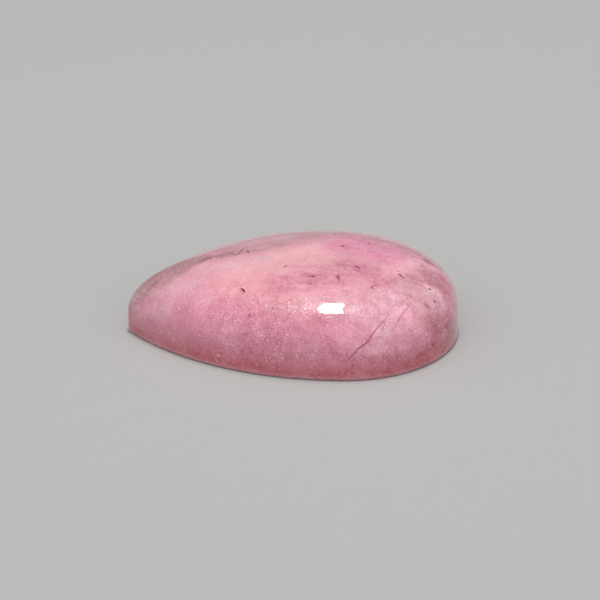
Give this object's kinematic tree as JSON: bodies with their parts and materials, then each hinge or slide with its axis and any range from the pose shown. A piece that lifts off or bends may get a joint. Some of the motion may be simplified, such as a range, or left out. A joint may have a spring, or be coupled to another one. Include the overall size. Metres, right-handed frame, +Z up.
{
  "type": "petalite cabochon",
  "caption": "Pear-shaped cabochon of pink petalite, domed and polished above and ground flat below, for setting in a bezel or gluing to a pad.",
  "frame": {"origin": "on the flat base, under the middle of the stone's length and width", "axes": "+X from the tip to the round end, +Z up from the base to the crown, and Y across the stone"},
  "size_m": [0.0286, 0.02, 0.0072],
  "materials": {
    "petalite": "polished"
  },
  "bodies": {
    "root": {"cabochon": "petalite"}
  },
  "joints": []
}
